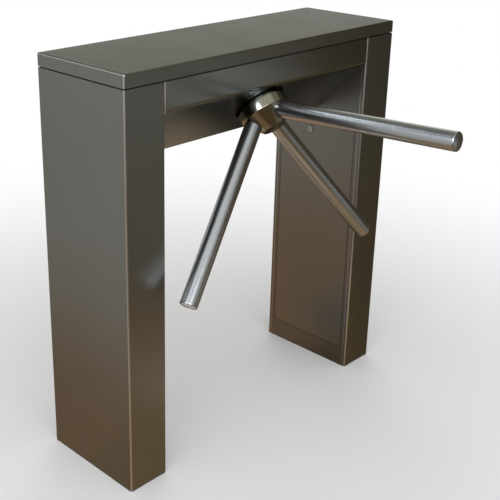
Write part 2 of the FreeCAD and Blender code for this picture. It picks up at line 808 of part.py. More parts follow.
# Index disc: the notches that the locking pawls drop into, at each arm and half-way between
stops = stops_per_arm * arm_count
disc_boss_radius = shaft_tail_radius + disc_boss_wall
disc = ring(disc_radius, shaft_tail_radius, -disc_back, -disc_front)
disc = disc.fuse(ring(disc_boss_radius, shaft_tail_radius, -disc_front, -gear_back)).removeSplitter()
notch = block(disc_radius - notch_depth, disc_radius + beyond, -notch_half_width, notch_half_width,
              -disc_back - beyond, -disc_front + beyond)
for i in range(stops):
    disc = disc.cut(spun(notch, pawl_angle + i * 360 / stops))
add_rotor("index_disc", disc)

# Star cam: its valleys are the places where the arms come to rest
star_points = []
star_steps = star_points_per_lobe * stops
for i in range(star_steps):
    angle = 2 * math.pi * i / star_steps
    radius = star_mean_radius + star_rise * math.cos(stops * (angle - math.pi / 2) + math.pi * (stops - 1))
    star_points.append(V(radius * math.cos(angle), radius * math.sin(angle), -star_back))
star_curve = Part.BSplineCurve()
star_curve.interpolate(star_points, PeriodicFlag=True)
star = Part.Face(Part.Wire(star_curve.toShape())).extrude(V(0, 0, star_thickness))
star = star.fuse(rod(disc_boss_radius, -star_front, -disc_back))
star = star.cut(rod(shaft_tail_radius, -star_back - beyond, -disc_back + beyond))
add_rotor("star_cam", star.removeSplitter())

# Code disc: a slotted vane on the shaft's end for the position sensor
sensor_reach = code_radius - sensor_overlap
code = ring(code_radius, shaft_tail_radius, -code_back, -code_front)
code = code.fuse(ring(gear_boss_radius, shaft_tail_radius, -code_front, -star_back)).removeSplitter()
slot = block(sensor_reach, code_radius - code_rim, -code_slot_width / 2, code_slot_width / 2,
             -code_back - beyond, -code_front + beyond)
for i in range(arm_count):
    code = code.cut(spun(slot, 90 + i * 360 / arm_count))
add_rotor("code_disc", code)

# Shaft nut and washer
nut_radius = shaft_tail_radius + nut_wall
shaft_nut = hexagon(nut_radius, -nut_back, -nut_front)
shaft_nut = shaft_nut.cut(rod(shaft_tail_radius, -nut_back - beyond, -nut_front + beyond))
add_rotor("shaft_nut", ring(nut_radius, shaft_tail_radius, -nut_front, -code_back), shaft_nut)

# Locking pawls: a bell crank on a post, with a tooth for the disc and a slotted tail for the plunger
pawl_depth = (-disc_back, -disc_front)
pawl_middle = (disc_front + disc_back) / 2
tooth_tip = disc_radius + pawl_clearance
tooth_back = tooth_tip + pawl_bar
tooth = pawl_tooth_half_width
tooth_root_width = tooth + pawl_tooth_taper
pawl = spun(prism(square([
    (pivot_reach - tooth, -pawl_arm), (tooth_tip + pawl_bar / 2, -tooth_root_width), (tooth_tip, -tooth),
    (tooth_tip, tooth), (tooth_back, tooth_root_width), (tooth_back, -tooth),
    (pivot_reach + tooth, -pawl_arm)]), *pawl_depth), pawl_angle)
tail = prism(rectangle(pivot.x - pawl_tail_half_width, pivot.x + pawl_tail_half_width,
                       plunger_y - pawl_tail_end, pivot.y + pawl_tail_half_width, pawl_tail_half_width),
             *pawl_depth)
pawl = pawl.fuse([tail, rod(pawl_boss_radius, *pawl_depth, pivot.x, pivot.y)]).removeSplitter()
slot_half = plunger_pin_radius + plunger_pin_gap
slot_reach = slot_half + pawl_slot_play
cut_depth = (-disc_back - beyond, -disc_front + beyond)
pawl = pawl.cut(prism(rectangle(pivot.x - slot_half, pivot.x + slot_half, plunger_y - slot_reach,
                                plunger_y + slot_reach, slot_half), *cut_depth))
pawl = pawl.cut(rod(pivot_radius + running_clearance, *cut_depth, pivot.x, pivot.y))
add_fixed("exit_pawl", pawl)
add_fixed("entry_pawl", other_side(pawl))

# Plungers: a round core with a fork and a cross pin that works the pawl's tail
plunger_end = solenoid_face + plunger_insert
fork_half = disc_thickness / 2 + axial_gap
pin_half = plunger_radius - plunger_pin_inset
plunger = bar_x(plunger_radius, pivot.x - plunger_nose, plunger_end, plunger_y, -pawl_middle)
plunger = plunger.cut(block(pivot.x - plunger_nose - beyond, pivot.x + plunger_slot,
                            plunger_y - plunger_radius, plunger_y + plunger_radius,
                            -pawl_middle - fork_half, -pawl_middle + fork_half))
plunger = plunger.fuse(rod(plunger_pin_radius, -pawl_middle - pin_half, -pawl_middle + pin_half,
                           pivot.x, plunger_y)).removeSplitter()
add_fixed("exit_plunger", plunger)
add_fixed("entry_plunger", other_side(plunger))

# Solenoids on their stands
solenoid_half = solenoid_width / 2
solenoid_end = solenoid_face + solenoid_length
solenoid = block(solenoid_face, solenoid_end, plunger_y - solenoid_half, plunger_y + solenoid_half,
                 -pawl_middle - solenoid_half, -pawl_middle + solenoid_half)
solenoid = solenoid.makeFillet(solenoid_round,
                               [e for e in solenoid.Edges if e.BoundBox.XLength > solenoid_length - same])
solenoid = solenoid.cut(bar_x(plunger_radius + running_clearance, solenoid_face - beyond,
                              plunger_end + solenoid_stroke, plunger_y, -pawl_middle))
add_fixed("lock_solenoids", solenoid, other_side(solenoid))
stand_x = (solenoid_face + stand_inset, solenoid_end - stand_inset)
stand_y = (plunger_y - solenoid_half + stand_inset, plunger_y + solenoid_half - stand_inset)
stand_z = (-pawl_middle + solenoid_half, -plate_back)
stand = block(*stand_x, *stand_y, *stand_z)
stand = stand.cut(block(stand_x[0] + stand_wall, stand_x[1] - stand_wall, stand_y[0] - beyond,
                        stand_y[1] + beyond, stand_z[0] + stand_wall, stand_z[1] - stand_wall))
add_fixed("solenoid_stands", stand, other_side(stand))

# Centring lever and its roller, held just clear of the star cam's lobes
roller_rest = star_mean_radius + star_rise + roller_clearance + roller_radius
lever_depth = (-lever_back, -lever_front)
lever = prism(rectangle(0, lever_arm, -roller_rest - lever_half_width, -roller_rest + lever_half_width),
              *lever_depth)
lever = lever.fuse([rod(lever_half_width, *lever_depth, 0, -roller_rest),
                    rod(lever_boss_radius, *lever_depth, lever_arm, -roller_rest),
                    rod(roller_pin_radius, -lever_front, -star_front, 0, -roller_rest)]).removeSplitter()
lever = lever.cut(rod(pivot_radius + running_clearance, -lever_back - beyond, -lever_front + beyond,
                      lever_arm, -roller_rest))
add_fixed("centring_lever", lever)
roller = ring(roller_radius, roller_pin_radius + running_clearance, -lever_front + axial_gap, -star_front)
roller.translate(V(0, -roller_rest, 0))
add_fixed("centring_roller", roller)

# Posts that the pawls and the centring lever turn on
add_fixed("pivot_posts", post(pivot.x, pivot.y, disc_front, disc_thickness),
          post(-pivot.x, pivot.y, disc_front, disc_thickness),
          post(lever_arm, -roller_rest, lever_front, lever_thickness))

# Position sensor: a forked block on a stalk
sensor_post = max(gear_tip, disc_radius) + sensor_room
fork_back = -code_back - sensor_gap - sensor_leg
fork = block(sensor_post, sensor_post + sensor_post_depth, -sensor_half_width, sensor_half_width,
             fork_back, -plate_back)
for low in (fork_back, -code_front + sensor_gap):
    fork = fork.fuse(block(sensor_reach, sensor_post, -sensor_half_width, sensor_half_width,
                           low, low + sensor_leg))
add_fixed("position_sensor", spun(fork.removeSplitter(), sensor_angle))

# Brackets: a gusset each side that ties the mechanism plate to the beam's floor
foot = (slope_foot + bend_radius, half_depth - sheet - bracket_back_room)
foot_top = beam_floor + bracket_wall
flange_depth = -plate_back - bracket_wall
gusset = section(square([
    in_row(bracket_top, -plate_back), in_row(plate_low, -plate_back), (foot[0], beam_floor),
    (foot[1], beam_floor), (foot[1], beam_floor + bracket_foot_height),
    in_row(bracket_top, -plate_back - bracket_depth)]), bracket_x, bracket_x + bracket_wall)
seat_flange = block(bracket_x, plate_half_width, plate_low, bracket_top, flange_depth, -plate_back)
foot_flange = block(bracket_x, plate_half_width, *foot, beam_floor, foot_top)
bracket = gusset.fuse([placed(seat_flange, rotor_frame), foot_flange]).removeSplitter()
for place in plate_bolt_places:
    bracket = bracket.cut(placed(rod(plate_bolt_radius + bolt_hole_gap, flange_depth - beyond,
                                     -plate_back + beyond, *place), rotor_frame))
foot_screw_rows = (foot[0] + foot_screw_inset, foot[1] - foot_screw_inset)
for y in foot_screw_rows:
    bracket = bracket.cut(rod(foot_screw_radius + bolt_hole_gap, beam_floor - beyond, foot_top + beyond,
                              flange_middle, y))
add_pair("bracket", bracket)

# Fasteners of the mechanism
plate_bolts = []
nut_low = flange_depth - plate_bolt_nut
for place in plate_bolt_places:
    bolt = hexagon(plate_bolt_head_radius, -plate_front, -plate_front + plate_bolt_head, *place)
    plate_bolts.append(bolt.fuse(rod(plate_bolt_radius, nut_low, -plate_front, *place)).removeSplitter())
    bolt_nut = hexagon(plate_bolt_head_radius, nut_low, flange_depth, *place)
    plate_bolts.append(bolt_nut.cut(rod(plate_bolt_radius, nut_low - beyond, flange_depth + beyond, *place)))
add_fixed("plate_bolts", *plate_bolts)
housing_bolts = []
for place in housing_bolt_places:
    head = rod(housing_bolt_head_radius, -flange_back - housing_bolt_head, -flange_back, *place)
    bolt = head.fuse(rod(housing_bolt_radius, -flange_back, -plate_front, *place))
    housing_bolts.append(bolt.removeSplitter())
add_fixed("housing_bolts", *housing_bolts)
foot_screws = []
for x in (-flange_middle, flange_middle):
    for y in foot_screw_rows:
        head = rod(foot_screw_head_radius, foot_top, foot_top + foot_screw_head, x, y)
        foot_screws.append(head.fuse(rod(foot_screw_radius, beam_floor, foot_top, x, y)).removeSplitter())
add("bracket_screws", *foot_screws)

# Control board on standoffs inside the beam's back, with a terminal strip and relays
board_back = half_depth - sheet - standoff_length
board_front = board_back - board_thickness
half_board = board_width / 2
board_x = -inner_face + board_side_room + half_board
board_z = (beam_floor + rim_bottom) / 2
board_low = board_z - board_height / 2
board_high = board_z + board_height / 2
board = block(board_x - half_board, board_x + half_board, board_front, board_back, board_low, board_high)
terminal_low = board_low + terminal_inset
terminals = block(board_x - terminal_width / 2, board_x + terminal_width / 2, board_front - terminal_depth,
                  board_front, terminal_low, terminal_low + terminal_height)
relays = []
for i in range(relay_count):
    relay_x = board_x + (i - (relay_count - 1) / 2) * relay_pitch
    relays.append(block(relay_x - relay_width / 2, relay_x + relay_width / 2, board_front - relay_depth,
                        board_front, board_z, board_z + relay_height))
add("control_board", board, terminals, *relays)
standoffs = []
for x in (board_x - half_board + standoff_inset, board_x + half_board - standoff_inset):
    for z in (board_low + standoff_inset, board_high - standoff_inset):
        standoffs.append(Part.makeCylinder(standoff_radius, standoff_length, V(x, board_back, z), V(0, 1, 0)))
add("board_standoffs", *standoffs)

# Power supply on the outer wall of the left leg
supply_wall = -half_length + sheet
supply_half = supply_width / 2
supply_top = supply_height + supply_length
supply = block(supply_wall, supply_wall + supply_depth, -supply_half, supply_half, supply_height, supply_top)
supply = supply.makeFillet(supply_round, [e for e in supply.Edges if e.BoundBox.XMin > supply_wall + same])
tabs = block(supply_wall, supply_wall + sheet, -supply_half, supply_half,
             supply_height - supply_flange, supply_top + supply_flange)
add("power_supply", supply.fuse(tabs).removeSplitter())

os.makedirs("parts", exist_ok=True)
for name, solids in nodes.items():
    shape = solids[0] if len(solids) == 1 else Part.Compound(list(solids))
    shape.exportStep(f"parts/{name}.step")
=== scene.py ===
import json
import math

import bpy
import numpy as np
from mathutils import Matrix, Vector


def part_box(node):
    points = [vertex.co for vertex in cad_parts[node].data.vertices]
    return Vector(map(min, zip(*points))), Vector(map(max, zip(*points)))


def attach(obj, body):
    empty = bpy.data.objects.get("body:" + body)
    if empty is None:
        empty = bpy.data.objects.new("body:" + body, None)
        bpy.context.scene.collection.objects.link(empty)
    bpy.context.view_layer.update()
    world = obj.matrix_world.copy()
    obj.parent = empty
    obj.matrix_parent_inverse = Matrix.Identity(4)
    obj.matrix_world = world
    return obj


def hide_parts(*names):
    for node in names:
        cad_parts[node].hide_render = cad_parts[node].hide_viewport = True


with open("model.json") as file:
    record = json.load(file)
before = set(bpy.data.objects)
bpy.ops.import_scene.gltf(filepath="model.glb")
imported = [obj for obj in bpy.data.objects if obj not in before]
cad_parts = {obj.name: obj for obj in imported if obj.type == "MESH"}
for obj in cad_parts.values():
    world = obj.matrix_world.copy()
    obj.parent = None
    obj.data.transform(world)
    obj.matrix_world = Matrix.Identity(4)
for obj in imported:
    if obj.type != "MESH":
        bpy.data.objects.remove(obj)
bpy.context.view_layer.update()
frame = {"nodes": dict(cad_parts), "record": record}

# Legs
# Each leg is a rectangular tube of 2 mm stainless sheet, folded and welded along a hidden seam, then
# brushed upright to a satin finish. Its bent corners and a fold beside each door carry a painted highlight,
# and its inner faces a painted shade.


class Term:
    """One output of a material's nodes, used as a value in expressions that add Math nodes."""

    def __init__(self, tree, socket=None):
        self.tree = tree
        self.socket = socket

    def node(self, kind, settings, sockets, output=0):
        """Add a node of a kind: its settings come first, then the values or links of its sockets."""
        made = self.tree.nodes.new(kind)
        for name, value in settings.items():
            setattr(made, name, value)
        for name, value in sockets.items():
            if isinstance(value, Term):
                self.tree.links.new(value.socket, made.inputs[name])
            else:
                made.inputs[name].default_value = value
        return Term(self.tree, made.outputs[output])

    def math(self, operation, *values):
        """Add a Math node."""
        return self.node("ShaderNodeMath", {"operation": operation}, dict(enumerate(values)))

    def __add__(self, other):
        return self.math("ADD", self, other)

    def __sub__(self, other):
        return self.math("SUBTRACT", self, other)

    def __rsub__(self, other):
        return self.math("SUBTRACT", other, self)

    def __mul__(self, other):
        return self.math("MULTIPLY", self, other)

    def __abs__(self):
        return self.math("ABSOLUTE", self)

    __radd__ = __add__
    __rmul__ = __mul__

    def fade(self, start, end):
        """1 up to start and 0 from end on, eased between them; start may lie above end."""
        return self.node("ShaderNodeMapRange", {"interpolation_type": "SMOOTHSTEP"},
                         {"Value": self, "From Min": start, "From Max": end, "To Min": 1.0, "To Max": 0.0})


def finish(name, constants):
    """A new material: its shader with the sockets that are the same all over, and the place on the surface
    in the part's own coordinates, in metres."""
    material = bpy.data.materials.new(name)
    material.use_nodes = True
    shader = material.node_tree.nodes["Principled BSDF"]
    for socket, value in constants.items():
        shader.inputs[socket].default_value = value
    place = Term(material.node_tree).node("ShaderNodeTexCoord", {}, {}, "Object")
    return material, shader, place


def axes(place):
    """The three numbers of a place."""
    split = place.node("ShaderNodeSeparateXYZ", {}, {"Vector": place}).socket.node
    return [Term(place.tree, split.outputs[axis]) for axis in "XYZ"]


def feed(node, sockets):
    """Link what changes over the surface to a node's sockets."""
    for socket, term in sockets.items():
        term.tree.links.new(term.socket, node.inputs[socket])


def mix(factor, first, second):
    """A blend of two colours, from the first at 0 to the second at 1. The node has sockets of one name for
    numbers, vectors and colours, so they are given by their places."""
    factor_socket, first_socket, second_socket, blend_socket = 0, 6, 7, 2
    first, second = (colour if isinstance(colour, Term) else (*colour, 1) for colour in (first, second))
    return factor.node("ShaderNodeMix", {"data_type": "RGBA"},
                       {factor_socket: factor, first_socket: first, second_socket: second}, blend_socket)


def grain(place, scale, detail=3.0):
    """A soft noise whose scale is given along each axis, in cells to the metre."""
    spread = place.node("ShaderNodeMapping", {}, {"Vector": place, "Scale": scale})
    return place.node("ShaderNodeTexNoise", {}, {"Vector": spread, "Scale": 1.0, "Detail": detail})


def raised(height, strength, distance):
    """A bump that feeds a shader's Normal."""
    return height.node("ShaderNodeBump", {}, {"Height": height, "Strength": strength, "Distance": distance})


SATIN = ((0.128, 0.126, 0.111), (0.158, 0.156, 0.140))
SCUFFED = (0.20, 0.195, 0.18)
PAINTED_HIGHLIGHT = (0.41, 0.41, 0.42)
EDGE_TINT = (0.34, 0.34, 0.33, 1)


def brushed_sheet(name, brush, corner=None, metal=SATIN, edge_tint=EDGE_TINT, least_rough=0.24, highlight_colour=PAINTED_HIGHLIGHT,
                  painted_shading=None):
    """Satin sheet: brush lines and bands are noise drawn out along one axis; clouds, smears and scuffs near
    the floor change colour and gloss. A mask worked out from the coordinates paints bright highlights along
    bends and lines, and a shading function paints shade or highlight over a part of the sheet."""
    material, shader, place = finish(name, {"Metallic": 1.0, "Specular Tint": edge_tint})
    x, y, z = axes(place)

    def drawn_out(across, along):
        """A scale with its own number of cells along the brushing."""
        return [along if axis == brush else across for axis in "XYZ"]

    lines = grain(place, drawn_out(1500.0, 9.0), 2.0)
    bands = grain(place, drawn_out(90.0, 2.0))
    clouds = grain(place, (5.0, 5.0, 4.0), 5.0)
    smears = grain(place, (17.0, 17.0, 11.0), 6.0)
    near_floor = z.fade(0.02, 0.20)
    scuffs = grain(place, (60.0, 60.0, 14.0), 6.0).fade(0.64, 0.52) * near_floor
    colour = mix(lines * 0.45 + bands * 0.25 + clouds * 0.3, *metal)
    colour = mix(scuffs * 0.06, colour, SCUFFED)
    rough = least_rough + clouds * 0.10 + smears * 0.06 + lines * 0.05 + scuffs * 0.04
    # A painted shade or highlight over a part of the sheet.
    if painted_shading:
        colour = painted_shading(colour, x, z)
    if corner:
        highlight_mask = corner(x, y)
        # The mask's colour is a painted highlight along the bends and lines it marks.
        colour = mix(highlight_mask, colour, highlight_colour)
        rough = rough - highlight_mask * 0.12
    feed(shader, {"Base Color": colour, "Roughness": rough,
                  "Normal": raised(lines * 0.7 + bands * 0.3, 0.05, 0.0004)})
    return material


def placed(name, data):
    """An object in the scene for a mesh, a lamp or a camera."""
    thing = bpy.data.objects.new(name, data)
    bpy.context.scene.collection.objects.link(thing)
    return thing


def smooth_copy(node, body, material):
    """A copy of a CAD node whose bends reflect as curves: corners of its loose triangles that agree to a
    hundredth of a millimetre become one, and only edges that turn further than an angle stay crisp."""
    decimals, crisp_angle = 5, math.radians(28)
    source = frame["nodes"][node].data
    corners = np.empty(3 * len(source.vertices))
    source.vertices.foreach_get("co", corners)
    order = np.empty(len(source.loops), dtype=np.int32)
    source.loops.foreach_get("vertex_index", order)
    places, joined = np.unique(np.round(corners.reshape(-1, 3), decimals), axis=0, return_inverse=True)
    faces = joined.reshape(-1)[order.reshape(-1, 3)]
    mesh = bpy.data.meshes.new(f"{node}_sheet")
    mesh.from_pydata(places.tolist(), [], faces.tolist())
    mesh.validate()
    mesh.shade_smooth()
    mesh.set_sharp_from_angle(angle=crisp_angle)
    mesh.materials.append(material)
    piece = placed(f"{node}_sheet", mesh)
    flat = piece.modifiers.new("flat_faces", "WEIGHTED_NORMAL")
    flat.keep_sharp = True
    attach(piece, body)
    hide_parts(node)


leg_low, leg_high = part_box("right_leg_shell")
leg_middle, leg_half = (leg_high.x + leg_low.x) / 2, (leg_high.x - leg_low.x) / 2
inner_face, outer_face, half_depth = leg_low.x, leg_high.x, leg_high.y
BEND = (0.0022, 0.0040)
fold_inset, fold_width = 0.0105, (0.0009, 0.0017)


def leg_bend_highlight(x, y):
    """The sum of a point's distances from the leg's side and front planes is least on its upright bends,
    which carry a painted highlight; beside the door, a fold of the inner face, a little way from the bend,
    carries a fainter painted highlight."""
    across = leg_half - abs(abs(x) - leg_middle)
    along = half_depth - abs(y)
    on_inner_face = abs(x).fade(inner_face + 0.0006, inner_face + 0.0012)
    fold = abs(along - fold_inset).fade(*fold_width) * on_inner_face
    return (across + along).fade(*BEND) * 0.85 + fold * 0.35


def leg_inner_painted_shade(colour, x, z):
    """The inner faces are a little darker: a painted shade between the legs."""
    return mix(abs(x).fade(inner_face + 0.001, inner_face + 0.003) * 0.45, colour, (0.05, 0.05, 0.05))


leg_finish = brushed_sheet("satin_leg_sheet", "Z", leg_bend_highlight, painted_shading=leg_inner_painted_shade)
for side in ("left", "right"):
    smooth_copy(f"{side}_leg_shell", "cabinet", leg_finish)

# Base plates, brackets and small plated parts
# The plates in the legs' feet, the brackets and plate of the mechanism, hinge leaves and stock fasteners.
# They are cut or bent from steel, then zinc plated and passivated to a cool grey with a faint yellow bloom.


def dress(material, *names):
    """Give CAD nodes a finish."""
    for name in names:
        frame["nodes"][name].material_slots[0].material = material


plated, shader, place = finish("zinc_plate", {"Metallic": 1.0})
bloom = grain(place, (30.0, 30.0, 30.0), 4.0)
speckle = grain(place, (900.0, 900.0, 900.0), 2.0)
feed(shader, {"Base Color": mix(bloom.fade(0.62, 0.38), (0.50, 0.51, 0.52), (0.56, 0.52, 0.42)),
              "Roughness": 0.28 + bloom * 0.16 + speckle * 0.06,
              "Normal": raised(speckle, 0.06, 0.0003)})
dress(plated, "left_base_plate", "right_base_plate", "hinge_body_leaves", "hinge_lid_leaves",
      "mechanism_plate", "left_bracket", "right_bracket", "plate_bolts", "housing_bolts", "bracket_screws",
      "solenoid_stands", "pivot_posts", "board_standoffs", "hub_bolt", "shaft_nut")

# Beam
# The front panel is one sheet: upright face, soft bend, slope and underside, with a round opening for
# the hub. It is brushed lengthwise, and the back panel closes the beam behind.
highlight_line_place, highlight_line_width = inner_face - 0.0007, (0.0007, 0.0014)


def beam_end_highlight(x, y):
    """A painted highlight at the front panel's two ends, each a thin upright line beside a leg."""
    on_front = y.fade(-half_depth + 0.003, -half_depth + 0.006)
    return abs(abs(x) - highlight_line_place).fade(*highlight_line_width) * on_front


def beam_painted_shading(colour, x, z):
    """Below the bend the sheet carries a painted shade on the left, most of all near the bend and at the left
    end, and a painted highlight towards its right end."""
    slope = z.fade(0.885, 0.905)
    near_bend = 1 - z.fade(0.80, 0.89)
    left_part, left_end, right_end = x.fade(-0.05, 0.2), x.fade(-0.32, -0.14), 1 - x.fade(0.10, 0.32)
    slope_painted_shade = slope * left_part * (0.15 + near_bend * 0.3 + left_end * 0.3)
    # Painted shade on the slope's left part.
    colour = mix(slope_painted_shade, colour, (0.02, 0.035, 0.07))
    # A painted highlight towards the slope's right end.
    return mix(slope * right_end * 0.9, colour, (0.52, 0.54, 0.57))


# The panel's ends carry bright painted highlight lines, and its slope a painted shade and highlight.
beam_finish = brushed_sheet("satin_beam_sheet", "X", beam_end_highlight, edge_tint=(0.70, 0.80, 0.88, 1),
                            least_rough=0.12, highlight_colour=(0.86, 0.88, 0.92), painted_shading=beam_painted_shading)
smooth_copy("beam_front_panel", "cabinet", beam_finish)
smooth_copy("beam_back_panel", "cabinet", beam_finish)

# Rim and seal under the lid
# The rim is an angle frame, painted matt black; its black also stands in for the shade in the gap, a
# painted shade that shows as the dark line below the lid. A strip of foam rubber on top of it carries the
# lid.
black_paint_and_gap_shade, shader, place = finish("matt_black_paint", {"Metallic": 0.0, "Specular IOR Level": 0.3})
dust = grain(place, (14.0, 14.0, 14.0), 5.0)
stipple = grain(place, (1400.0, 1400.0, 1400.0), 2.0)
feed(shader, {"Base Color": mix(dust.fade(0.7, 0.4) * 0.5, (0.022, 0.021, 0.019), (0.010, 0.010, 0.010)),
              "Roughness": 0.62 + dust * 0.2, "Normal": raised(stipple, 0.15, 0.0003)})
dress(black_paint_and_gap_shade, "lid_rim")
foam, shader, place = finish("foam_rubber", {"Metallic": 0.0, "Specular IOR Level": 0.2})
cells = place.node("ShaderNodeTexVoronoi", {}, {"Vector": place, "Scale": 900.0})
feed(shader, {"Base Color": mix(cells, (0.012, 0.012, 0.012), (0.030, 0.030, 0.030)),
              "Roughness": 0.85 + cells * 0.1, "Normal": raised(cells, 0.4, 0.0005)})
dress(foam, "lid_seal")

# Lid
# A shallow cap of the same sheet, folded with rounded edges, welded and ground at its corners, then
# brushed lengthwise. Two hinges at the back hold it.


def lid_bend_highlight(x, y):
    """A painted highlight where both side planes are near, on the upright bends, as on the legs."""
    return ((outer_face - abs(x)) + (half_depth - abs(y))).fade(*BEND) * 0.6


lid_finish = brushed_sheet("satin_lid_sheet", "X", lid_bend_highlight)
smooth_copy("lid", "lid", lid_finish)

# Leg doors
# A panel closes the opening in each leg's inner face, flush with it. It is folded with flanges from the
# same sheet, a little darker, brushed upright, and stands on the opening's sill.
DOOR_SATIN = ((0.110, 0.108, 0.095), (0.136, 0.134, 0.120))
door_finish = brushed_sheet("satin_door_sheet", "Z", metal=DOOR_SATIN)
for side in ("left", "right"):
    smooth_copy(f"{side}_door", f"{side}_door", door_finish)

# Locks
# Small cam locks of plated die casting: a head dulled by weather, a bright plug with its key slot, and
# a cam behind. A nut clamps each one in its door.
dulled, shader, place = finish("dulled_plating", {"Metallic": 1.0})
pitting = grain(place, (900.0, 900.0, 900.0), 4.0)
feed(shader, {"Base Color": mix(pitting, (0.11, 0.105, 0.09), (0.20, 0.19, 0.165)),
              "Roughness": 0.30 + pitting * 0.2, "Normal": raised(pitting, 0.1, 0.0002)})
chrome, shader, place = finish("bright_plating", {"Metallic": 1.0})
wear = grain(place, (260.0, 260.0, 260.0), 4.0)
feed(shader, {"Base Color": mix(wear, (0.17, 0.168, 0.158), (0.25, 0.247, 0.235)),
              "Roughness": 0.14 + wear * 0.14})
for side in ("left", "right"):
    smooth_copy(f"{side}_lock_barrel", f"{side}_door", dulled)
    smooth_copy(f"{side}_lock_plug", f"{side}_lock", chrome)
    smooth_copy(f"{side}_lock_cam", f"{side}_lock", chrome)

# Shaft, bearings, discs and levers
# The shaft that carries the hub, what turns with it and what swings beside it. They are turned or milled
# from steel and lightly oiled, with fine tool marks and darker stains.
machined, shader, place = finish("machined_steel", {"Metallic": 1.0})
stain = grain(place, (45.0, 45.0, 45.0), 5.0)
marks = grain(place, (1600.0, 300.0, 300.0), 2.0)
feed(shader, {"Base Color": mix(stain, (0.42, 0.41, 0.39), (0.55, 0.55, 0.54)),
              "Roughness": 0.22 + stain * 0.18, "Normal": raised(marks, 0.08, 0.0003)})
dress(machined, "main_shaft", "bearing_housing", "bearing_outer_rings", "bearing_inner_rings", "drive_gear",
      "index_disc", "star_cam", "code_disc", "arm_spigots", "damper_spindle", "entry_pawl", "exit_pawl",
      "entry_plunger", "exit_plunger", "centring_lever", "centring_roller")

# Damper with its pinion
# A rotary damper, driven from the shaft, that slows the arms. Its pinion is cut from brass, and its case
# is turned from aluminium and anodised black.
brass, shader, place = finish("cut_brass", {"Metallic": 1.0})
tarnish = grain(place, (80.0, 80.0, 80.0), 5.0)
feed(shader, {"Base Color": mix(tarnish, (0.72, 0.52, 0.22), (0.50, 0.34, 0.14)),
              "Roughness": 0.22 + tarnish * 0.2})
dress(brass, "damper_pinion")
anodised, shader, place = finish("black_anodising", {"Metallic": 0.8})
blast = grain(place, (1200.0, 1200.0, 1200.0), 2.0)
feed(shader, {"Base Color": mix(blast, (0.045, 0.045, 0.05), (0.065, 0.065, 0.07)),
              "Roughness": 0.42 + blast * 0.12, "Normal": raised(blast, 0.1, 0.0003)})
dress(anodised, "damper_body")

# Solenoids
# One solenoid for each locking pawl, which it draws by a plunger. A lacquered iron frame surrounds a taped
# winding, and a stand carries it.
lacquered, shader, place = finish("lacquered_iron", {"Metallic": 0.3})
tape = place.node("ShaderNodeTexWave", {"bands_direction": "X"},
                  {"Vector": place, "Scale": 90.0, "Distortion": 0.4})
feed(shader, {"Base Color": mix(tape, (0.040, 0.036, 0.030), (0.065, 0.058, 0.048)),
              "Roughness": 0.45 + tape * 0.15, "Normal": raised(tape, 0.12, 0.0005)})
dress(lacquered, "lock_solenoids")

# Position sensor
# A fork that the rim of the code disc turns in, which tells how far the arms have gone. It is moulded from
# black plastic with a grained skin.
plastic, shader, place = finish("black_plastic", {"Metallic": 0.0})
leather = place.node("ShaderNodeTexVoronoi", {}, {"Vector": place, "Scale": 1500.0})
handled = grain(place, (60.0, 60.0, 60.0), 5.0)
feed(shader, {"Base Color": mix(handled, (0.028, 0.028, 0.026), (0.052, 0.051, 0.047)),
              "Roughness": 0.38 + handled * 0.2, "Normal": raised(leather, 0.12, 0.0003)})
dress(plastic, "position_sensor")

# Control board and power supply
# A green circuit board on standoffs, with tinned pads, a blue terminal strip and black relays, and the
# supply in a case of grey steel sheet, punched with vents.
board_low, board_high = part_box("control_board")
board_thickness, housing_edge = 0.0020, 0.0004
board_face = board_high.y - board_thickness
board_middle = (board_low.z + board_high.z) / 2
circuit, shader, place = finish("circuit_board", {"Metallic": 0.0})
_, y, z = axes(place)
before_face = y.fade(board_face - housing_edge, board_face)
terminal_row = z.fade(board_middle - 0.004, board_middle - 0.006)
board_plane = place.node("ShaderNodeMapping", {}, {"Vector": place, "Rotation": (math.pi / 2, 0, 0)})
traces = place.node("ShaderNodeTexBrick", {"offset": 0.5},
                    {"Vector": board_plane, "Scale": 190.0, "Mortar Size": 0.03}, 1)
pads = place.node("ShaderNodeTexVoronoi", {}, {"Vector": place, "Scale": 240.0}).fade(0.22, 0.26)
lacquer = mix(traces * 0.6, (0.015, 0.11, 0.045), (0.03, 0.20, 0.08))
lacquer = mix(pads * 0.8, lacquer, (0.55, 0.54, 0.50))
housings = mix(terminal_row, (0.015, 0.015, 0.016), (0.03, 0.10, 0.30))
feed(shader, {"Base Color": mix(before_face, lacquer, housings), "Roughness": 0.35 + pads * 0.1})
dress(circuit, "control_board")
supply_case, shader, place = finish("supply_case", {"Metallic": 0.6})
vents = place.node("ShaderNodeTexVoronoi", {"feature": "F1"},
                   {"Vector": place, "Scale": 130.0, "Randomness": 0.0}).fade(0.30, 0.34)
feed(shader, {"Base Color": mix(vents, (0.46, 0.46, 0.45), (0.02, 0.02, 0.02)),
              "Roughness": 0.4 + vents * 0.4})
dress(supply_case, "power_supply")

# Hub
# A turned and polished stainless casting: a neck, a collar, a cone and a rounded nose, bolted to the shaft
# through its middle, where a pressed plug closes the bore.
spin = next(joint for joint in frame["record"]["behaviour"]["joints"] if joint["name"] == "rotor_spin")
outward = np.array(spin["axis"])
crosswise = np.array([1.0, 0.0, 0.0])
hub_place = np.column_stack([crosswise, np.cross(outward, crosswise), outward])
hub_foot = np.array(spin["pos_m"])


